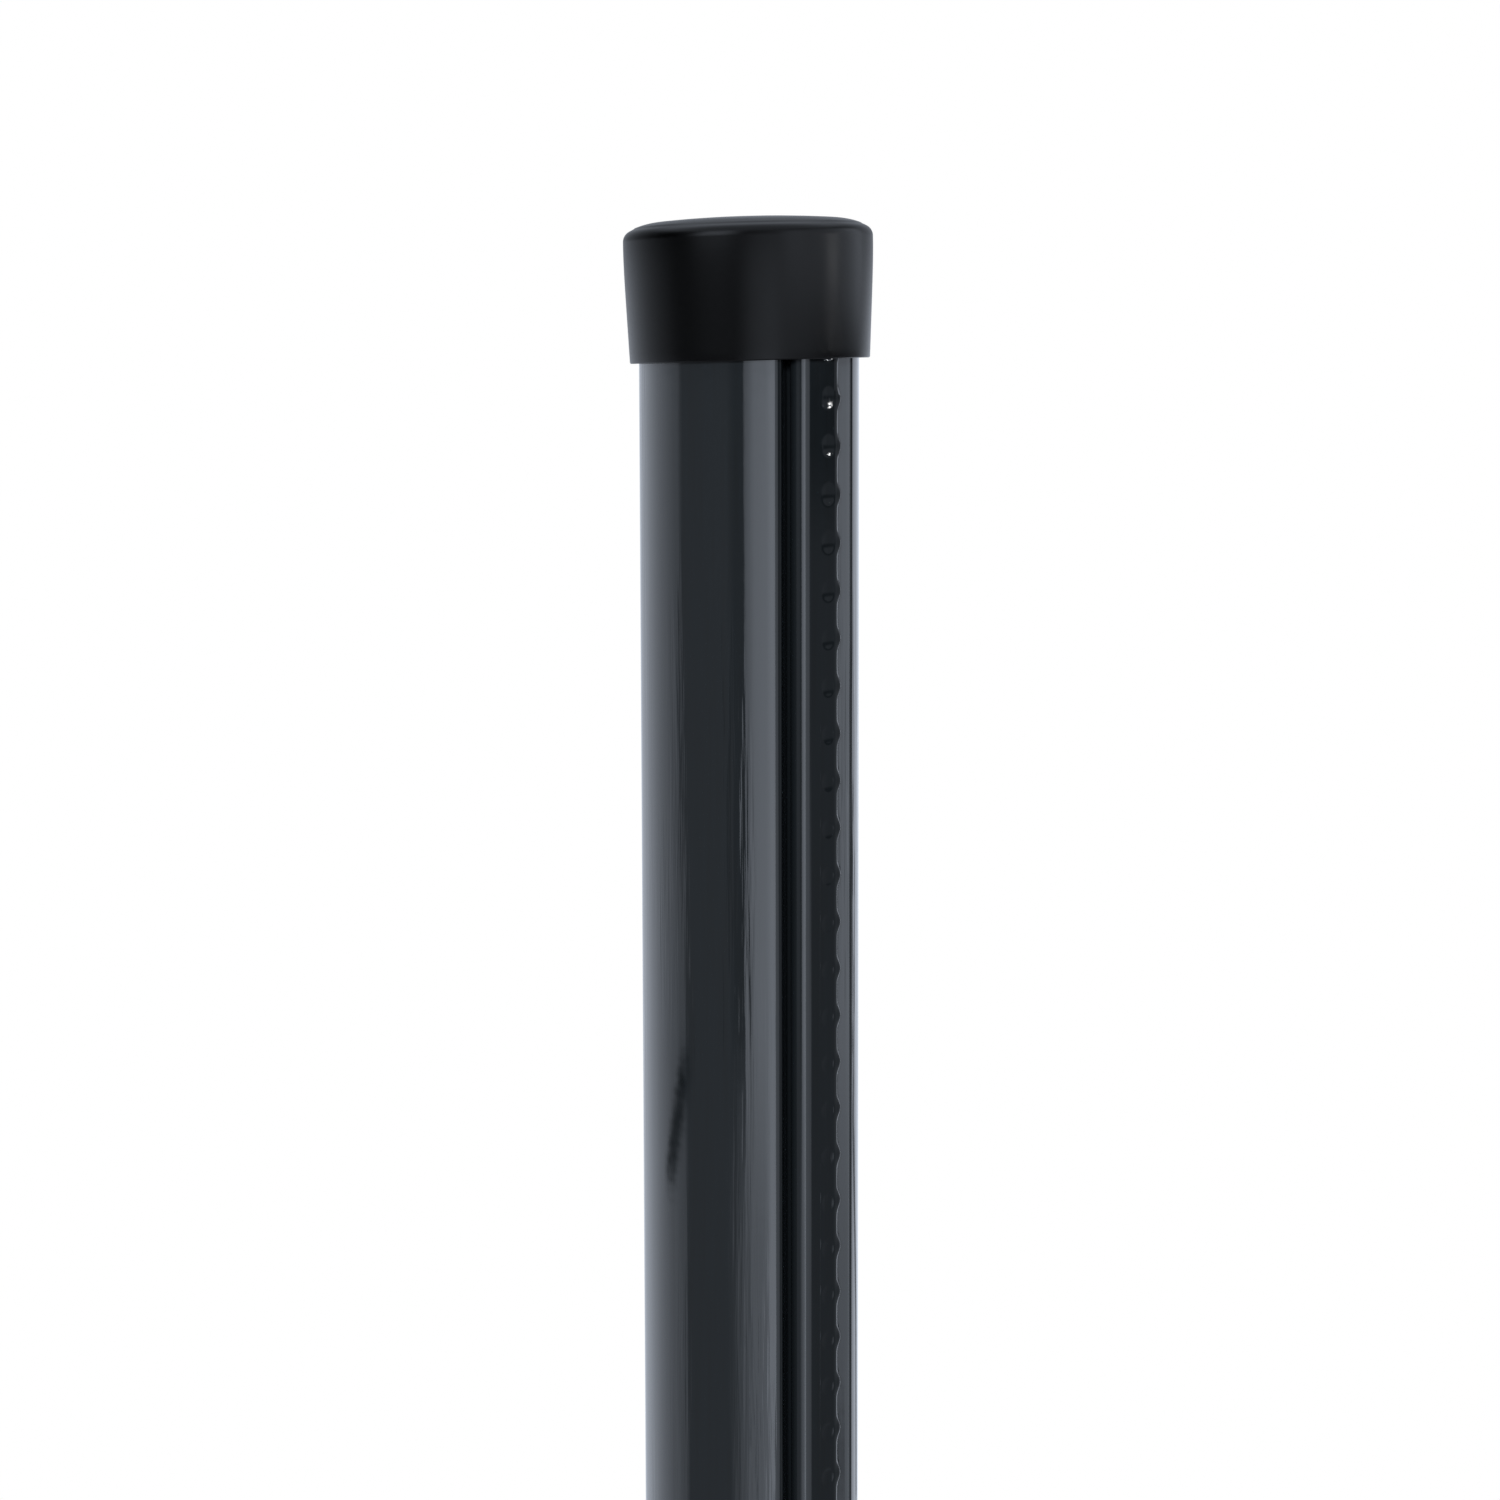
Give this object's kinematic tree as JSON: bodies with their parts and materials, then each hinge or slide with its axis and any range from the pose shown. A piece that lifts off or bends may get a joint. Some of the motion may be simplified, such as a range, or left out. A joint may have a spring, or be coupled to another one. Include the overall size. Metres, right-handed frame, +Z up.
{
  "type": "fence post",
  "caption": "Round steel fence post with a clip rail rolled into its wall, a row of pressed dents along the rail, and a flared plastic cap.",
  "frame": {"origin": "centre of the tube's foot, on the tube's axis", "axes": "+Z up the post, -Y out through the middle of the clip rail, +X to the rail's right when it is looked at"},
  "size_m": [0.0547, 0.0548, 1.5046],
  "materials": {
    "coated_steel": "glossy anthracite polyester coat over galvanised sheet",
    "cap_plastic": "satin black moulded polyethylene"
  },
  "bodies": {
    "root": {"post_tube": "coated_steel", "top_cap": "cap_plastic"}
  },
  "joints": []
}
